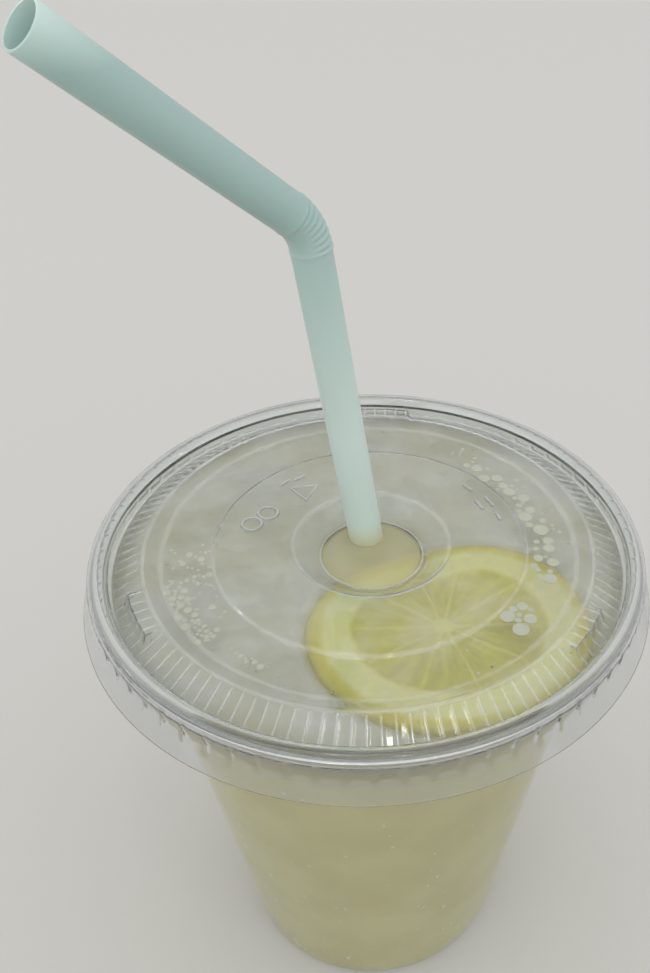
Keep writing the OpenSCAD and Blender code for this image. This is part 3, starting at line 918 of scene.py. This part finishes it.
def dome(verts, faces, at, radius, height, up, rings=3, around=12):
    """A low dome with a closed flat base, at a point; up is 1 or -1."""
    base = len(verts)
    verts.append((at.x, at.y, at.z + up * height))
    for i in range(1, rings + 1):
        t = math.pi / 2 * i / rings
        for k in range(around):
            a = TAU * k / around
            r, h = radius * math.sin(t), height * math.cos(t)
            verts.append((at.x + r * math.cos(a), at.y + r * math.sin(a), at.z + up * h))
    for k in range(around):
        j = (k + 1) % around
        faces.append((base, base + 1 + k, base + 1 + j))
        for i in range(rings - 1):
            p, q = base + 1 + i * around, base + 1 + (i + 1) * around
            faces.append((p + k, q + k, q + j, p + j))
    last = base + 1 + (rings - 1) * around
    faces.append(tuple(last + k for k in range(around)))


class LEMONADE_OT_bubbles(PieceOperator, bpy.types.Operator):
    """Makes the clusters of flattened air bubbles held under the lid"""
    bl_idname = "lemonade.bubbles"
    bl_label = "Air Bubbles"

    def make(self, scene, c):
        random.seed(7)
        clusters = (
            (0.26, 29.0, 36.8, 181, 222, 0.25, 0.7), (0.24, 34.0, 37.0, 198, 222, 0.3, 0.85),
            (0.05, 33.6, 34.8, 228, 242, 0.25, 0.6), (0.22, 29.6, 33.2, -19, 51, 0.4, 1.6),
            (0.09, 32.0, 36.6, -10, 60, 0.2, 0.6), (0.08, 29.2, 34.0, 316, 327, 0.5, 1.9),
            (0.06, 29.2, 36.8, 0, 360, 0.15, 0.4))
        level = deck_z() - scene.lemonade_lid.sheet
        verts, faces, kept = [], [], []
        for share, r0, r1, a0, a1, small, large in clusters:
            for _ in range(int(share * scene.lemonade_drink.bubbles)):
                size = mixed(small, large, random.random() ** 2) * MM
                for _ in range(20):
                    a, r = math.radians(random.uniform(a0, a1)), random.uniform(r0, r1) * MM
                    at = Vector((r * math.cos(a), r * math.sin(a), level))
                    if all((at - q).length > size + w for q, w in kept):
                        kept.append((at, size))
                        dome(verts, faces, at, size, 0.5 * size, -1, 4, 16)
                        break
        placed(new_mesh("air_bubbles", verts, faces, trapped_air(c), 60), "lemonade")


class LEMONADE_OT_pulp(PieceOperator, bpy.types.Operator):
    """Makes the specks of pulp and fine bubbles that lie against the cup's wall"""
    bl_idname = "lemonade.pulp"
    bl_label = "Pulp Specks"

    def make(self, scene, c):
        random.seed(5)
        cup, d = scene.lemonade_cup, scene.lemonade_drink
        side = wall_below(cup, 0.5 * cup.wall, d.level)
        work = bmesh.new()
        for _ in range(d.specks):
            z = mixed(5 * MM, 0.88 * d.level, random.random() ** 2.2)
            high = next(i for i, p in enumerate(side) if p[1] > z)
            low_p, high_p = side[high - 1], side[high]
            r = mixed(low_p[0], high_p[0], (z - low_p[1]) / (high_p[1] - low_p[1]))
            size = mixed(0.2, 0.8, random.random() ** 2.4) * MM
            at = Matrix.Rotation(random.uniform(0, TAU), 4, "Z") @ Matrix.Translation((r, 0, z))
            wide, tall = size * random.uniform(0.7, 1), size * random.uniform(0.7, 1.3)
            shape = Matrix.Diagonal((0.22 * size, wide, tall, 1))
            bmesh.ops.create_icosphere(work, subdivisions=1, radius=1, matrix=at @ shape)
        mesh = bpy.data.meshes.new("pulp_specks")
        work.to_mesh(mesh)
        work.free()
        mesh.shade_smooth()
        mesh.materials.append(lemon_pulp(c))
        specks = bpy.data.objects.new("pulp_specks", mesh)
        scene.collection.objects.link(specks)
        placed(specks, "lemonade")


class LEMONADE_OT_drops(PieceOperator, bpy.types.Operator):
    """Makes the small water drops on top of the lid"""
    bl_idname = "lemonade.drops"
    bl_label = "Water Drops"

    def make(self, scene, c):
        random.seed(3)
        z = deck_z()
        third = scene.lemonade_drink.drops // 3
        spots = [(36.2, random.uniform(0, 360)) for _ in range(third)]
        spots += [(random.uniform(33, 37), random.uniform(235, 262)) for _ in range(third)]
        spots += [(random.uniform(29, 36.5), random.uniform(190, 320)) for _ in range(third)]
        verts, faces = [], []
        for radius, turned_by in spots:
            a, r = math.radians(turned_by), radius * MM
            size = mixed(0.12, 0.38, random.random() ** 2) * MM
            at = Vector((r * math.cos(a), r * math.sin(a), z - 0.02 * MM))
            dome(verts, faces, at, size, 0.6 * size, 1)
        placed(new_mesh("water_drops", verts, faces, water(c), 60), "clear_lid")


# ---------------------------------------------------------------- stage

def ceiling_lamp(scene, name, at, aim, wide, watts):
    """A small square lamp at a point in metres, turned to another point."""
    lamp = bpy.data.lights.new(name, "AREA")
    lamp.shape, lamp.size, lamp.energy = "SQUARE", wide, watts
    box = bpy.data.objects.new(name, lamp)
    box.location = at
    box.rotation_euler = (Vector(aim) - Vector(at)).to_track_quat("-Z", "Y").to_euler()
    scene.collection.objects.link(box)


class LEMONADE_OT_stage(PieceOperator, bpy.types.Operator):
    """Makes the pale floor, the small ceiling lamps, the soft light all round and the camera"""
    bl_idname = "lemonade.stage"
    bl_label = "Studio Stage"

    def make(self, scene, c):
        s = scene.lemonade_stage
        side = 3
        corners = [(-side, -side, 0), (side, -side, 0), (side, side, 0), (-side, side, 0)]
        floor = new_mesh("floor", corners, [(0, 1, 2, 3)], studio_board(c))
        spots = ((0.1, -0.35, 1.0), (-0.9, 0.1, 0.6), (0.9, 0.1, 0.7), (-0.1, 0.1, 1.2))
        aim, wide, watts = (0, 0, 0.1), 0.06, 0.12
        for i, place in enumerate(spots):
            ceiling_lamp(scene, f"ceiling_{i}", place, aim, wide, watts)
        world = bpy.data.worlds.new("studio")
        scene.world = world
        world.use_nodes = True
        world.node_tree.nodes.clear()
        tree = world.node_tree
        way = add(tree, "TexCoord").outputs["Generated"]
        front = add(tree, "VectorMath", {"operation": "DOT_PRODUCT", 1: (0.0, -0.8, 0.6)}, {0: way})
        light = add(tree, "MapRange", {
            "From Min": -0.6, "From Max": 1.0, "To Min": 0.8, "To Max": 1.45},
            {"Value": front.outputs["Value"]})
        sky = add(tree, "Background", None, {"Strength": light})
        add(tree, "OutputWorld", links={"Surface": sky})
        lens = bpy.data.cameras.new("camera")
        lens.lens, lens.shift_x, lens.shift_y = s.lens, s.shift_x, s.shift_y
        lens.clip_start, lens.clip_end = 0.01, 20
        camera = bpy.data.objects.new("camera", lens)
        turns = Matrix.Rotation(math.pi / 2 - s.elevation, 4, "X") @ Matrix.Rotation(s.pan, 4, "Y")
        high = deck_z() + s.distance * math.sin(s.elevation)
        at = Matrix.Translation((0, -s.distance * math.cos(s.elevation), high))
        camera.matrix_world = at @ turns @ Matrix.Rotation(s.roll, 4, "Z")
        scene.collection.objects.link(camera)
        scene.camera = camera
        scene.view_settings.view_transform = "Standard"


# ---------------------------------------------------------------- add-on

class LEMONADE_PT_panel(bpy.types.Panel):
    """Lists the pieces in the sidebar"""
    bl_idname = "LEMONADE_PT_panel"
    bl_label = "Take-away Lemonade"
    bl_space_type = "VIEW_3D"
    bl_region_type = "UI"
    bl_category = "Lemonade"

    def draw(self, context):
        for piece in PIECES:
            self.layout.operator(piece.bl_idname)
        for name in GROUPS:
            box = self.layout.box()
            box.label(text=name)
            group = getattr(context.scene, name)
            for key in group.__annotations__:
                box.prop(group, key)


PIECES = (LEMONADE_OT_cup, LEMONADE_OT_lid, LEMONADE_OT_marks, LEMONADE_OT_straw, LEMONADE_OT_drink,
          LEMONADE_OT_slice, LEMONADE_OT_bubbles, LEMONADE_OT_pulp, LEMONADE_OT_drops,
          LEMONADE_OT_stage)
GROUPS = {
    "lemonade_cup": CupSizes, "lemonade_lid": LidSizes, "lemonade_straw": StrawSizes,
    "lemonade_slice": SliceSizes, "lemonade_drink": DrinkSizes, "lemonade_colours": Colours,
    "lemonade_stage": StageSizes}


def register():
    for kind in (*GROUPS.values(), *PIECES, LEMONADE_PT_panel):
        bpy.utils.register_class(kind)
    for name, group in GROUPS.items():
        setattr(bpy.types.Scene, name, PointerProperty(type=group))


def unregister():
    for name in GROUPS:
        delattr(bpy.types.Scene, name)
    for kind in reversed((*GROUPS.values(), *PIECES, LEMONADE_PT_panel)):
        bpy.utils.unregister_class(kind)


def main():
    register()
    bpy.ops.lemonade.cup()
    bpy.ops.lemonade.lid()
    bpy.ops.lemonade.marks()
    bpy.ops.lemonade.straw()
    bpy.ops.lemonade.drink()
    bpy.ops.lemonade.slice()
    bpy.ops.lemonade.bubbles()
    bpy.ops.lemonade.pulp()
    bpy.ops.lemonade.drops()
    bpy.ops.lemonade.stage()


if __name__ == "__main__":
    main()
